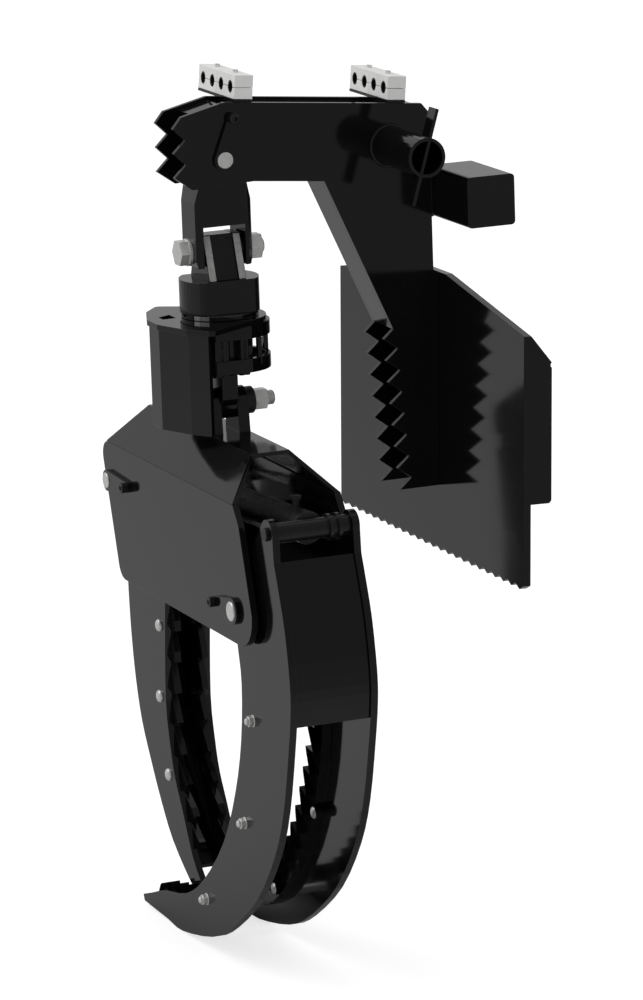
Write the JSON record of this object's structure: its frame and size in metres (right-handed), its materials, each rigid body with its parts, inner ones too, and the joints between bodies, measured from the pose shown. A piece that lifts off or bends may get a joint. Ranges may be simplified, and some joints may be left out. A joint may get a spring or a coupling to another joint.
{
  "type": "log_grapple",
  "caption": "Black steel log grapple with a rotator and a toothed fixed and moving jaw, hung from a loader arm with a toothed butt plate",
  "frame": {"origin": "centre of the carrier box's rear face, where the arm seats on its carrier", "axes": "X+ points away from the jaws, out of the carrier face, which leans 1.8 degrees; Y+ to the end of the butt plate away from the tubes; Z+ up"},
  "size_m": [0.5316, 0.7483, 1.3631],
  "materials": {
    "black_paint": "gloss",
    "satin_paint": "satin",
    "dark_steel": "satin",
    "zinc": "satin",
    "hard_chrome": "polished",
    "clamp_aluminium": "satin"
  },
  "bodies": {
    "arm": {"arm_side_plate_near": "black_paint", "arm_side_plate_far": "black_paint", "arm_top_cover": "black_paint", "arm_lower_web": "black_paint", "arm_rear_plate": "black_paint", "butt_plate": "black_paint", "carrier_box": "black_paint", "guide_tube": "black_paint", "tube_cross_bar": "black_paint", "square_tube": "black_paint", "clamp_strip_front": "black_paint", "clamp_strip_rear": "black_paint", "pipe_clamp_front_near": "clamp_aluminium", "pipe_clamp_front_far": "clamp_aluminium", "pipe_clamp_rear_near": "clamp_aluminium", "pipe_clamp_rear_far": "clamp_aluminium", "link_pin": "zinc", "link_pin_keeper": "black_paint", "link_pin_keeper_bolt": "dark_steel"},
    "link": {"cross_link": "black_paint", "cross_bolt": "zinc", "cross_bolt_nut": "zinc"},
    "head": {"swivel_head": "black_paint", "rotator_shaft": "hard_chrome"},
    "grapple": {"rotator_body": "satin_paint", "guard_top_plate": "black_paint", "guard_wall": "black_paint", "guard_strap_upper": "black_paint", "guard_strap_lower": "black_paint", "rotator_hanger_eye": "black_paint", "hanger_bolt": "zinc", "hanger_washer": "dark_steel", "hanger_nut": "zinc", "frame_roof": "black_paint", "frame_side_plate_left": "black_paint", "frame_side_plate_right": "black_paint", "frame_stretcher": "black_paint", "cylinder_pin": "zinc", "cylinder_pin_keeper": "black_paint", "cylinder_pin_keeper_bolt": "dark_steel", "jaw_pin": "zinc", "jaw_pin_keeper": "black_paint", "jaw_pin_keeper_bolt": "dark_steel", "fixed_jaw_plate_left": "black_paint", "fixed_jaw_plate_right": "black_paint", "fixed_jaw_tooth_strip_left": "black_paint", "fixed_jaw_tooth_strip_right": "black_paint", "fixed_jaw_back_panel": "black_paint"},
    "jaw": {"moving_jaw_plate_left": "black_paint", "moving_jaw_plate_right": "black_paint", "moving_jaw_tooth_strip_left": "black_paint", "moving_jaw_tooth_strip_right": "black_paint", "moving_jaw_back_panel": "black_paint", "jaw_hub": "satin_paint", "jaw_spacer_rod": "zinc", "rod_pin": "dark_steel"},
    "barrel": {"cylinder_barrel": "satin_paint", "cylinder_gland": "dark_steel"},
    "rod": {"cylinder_rod": "hard_chrome"}
  },
  "joints": [
    {"name": "link_swing", "type": "hinge", "parent": "arm", "child": "link", "pos_m": [-0.38734, 0, 0.407], "axis": [0, 1, 0], "range_deg": [-5, 24]},
    {"name": "head_swing", "type": "hinge", "parent": "link", "child": "head", "pos_m": [-0.38734, 0, 0.265], "axis": [1, 0, 0], "range_deg": [-15, 15]},
    {"name": "rotator_turn", "type": "hinge", "parent": "head", "child": "grapple", "pos_m": [-0.38734, 0, 0.172], "axis": [0, 0, 1], "range_deg": [-30, 30]},
    {"name": "jaw_open", "type": "hinge", "parent": "grapple", "child": "jaw", "pos_m": [-0.38734, -0.235, -0.237], "axis": [-1, 0, 0], "range_deg": [0, 30]},
    {"name": "barrel_swing", "type": "hinge", "parent": "jaw", "child": "barrel", "pos_m": [-0.38734, -0.33, -0.103], "axis": [-1, 0, 0], "range_deg": [-26.3, 0]},
    {"name": "rod_slide", "type": "slide", "parent": "barrel", "child": "rod", "axis": [0, -0.9985, 0.0543], "range_m": [0, 0.0761]}
  ],
  "couplings": [
    {"joint": "barrel_swing", "follows": "jaw_open", "ratio": -0.87062},
    {"joint": "rod_slide", "follows": "jaw_open", "m_per_rad": 0.14444}
  ]
}
